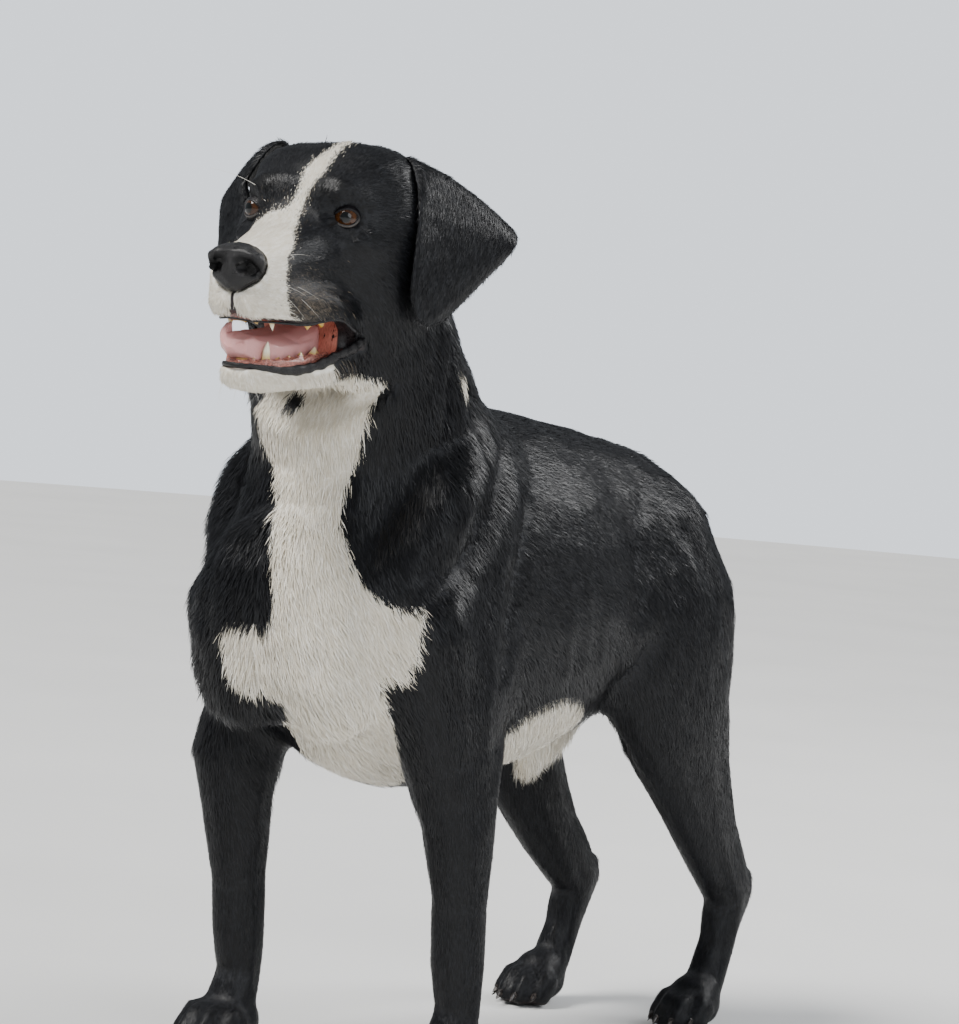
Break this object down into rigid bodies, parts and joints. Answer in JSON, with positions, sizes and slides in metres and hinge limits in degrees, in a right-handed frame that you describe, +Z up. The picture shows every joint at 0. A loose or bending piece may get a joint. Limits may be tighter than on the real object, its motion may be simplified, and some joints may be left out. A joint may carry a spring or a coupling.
{
  "type": "dog",
  "caption": "Life-size still model of a sturdy short-coated black-and-white dog, standing with its head turned a little to its left and its mouth open.",
  "frame": {"origin": "centre of the footprint box, on the floor the paws stand on", "axes": "+Z up, the dog looks towards -Y, its left side is at +X"},
  "size_m": [0.2814, 0.7932, 0.7574],
  "materials": {
    "black_coat": "short glossy coat",
    "white_coat": "short matt coat",
    "nose_leather": "damp, finely pebbled",
    "eye": "wet and glossy, opaque",
    "tongue": "wet",
    "teeth": "satin",
    "claw": "satin horn"
  },
  "bodies": {
    "root": {"head": "black_coat", "lower_jaw": "white_coat", "nose": "nose_leather", "tongue": "tongue", "upper_teeth": "teeth", "lower_teeth": "teeth", "eye_left": "eye", "eye_right": "eye", "ear_left": "black_coat", "ear_right": "black_coat", "neck": "black_coat", "chest": "black_coat", "loin": "black_coat", "tail": "black_coat", "upper_arm_left": "black_coat", "forearm_left": "black_coat", "fore_paw_left": "black_coat", "thigh_left": "black_coat", "lower_leg_left": "black_coat", "hind_shank_left": "black_coat", "hind_paw_left": "black_coat", "upper_arm_right": "black_coat", "forearm_right": "black_coat", "fore_paw_right": "black_coat", "thigh_right": "black_coat", "lower_leg_right": "black_coat", "hind_shank_right": "black_coat", "hind_paw_right": "black_coat", "claw_fore_left_1": "claw", "claw_fore_left_2": "claw", "claw_fore_left_3": "claw", "claw_fore_left_4": "claw", "claw_hind_left_1": "claw", "claw_hind_left_2": "claw", "claw_hind_left_3": "claw", "claw_hind_left_4": "claw", "claw_fore_right_1": "claw", "claw_fore_right_2": "claw", "claw_fore_right_3": "claw", "claw_fore_right_4": "claw", "claw_hind_right_1": "claw", "claw_hind_right_2": "claw", "claw_hind_right_3": "claw", "claw_hind_right_4": "claw"}
  },
  "joints": []
}
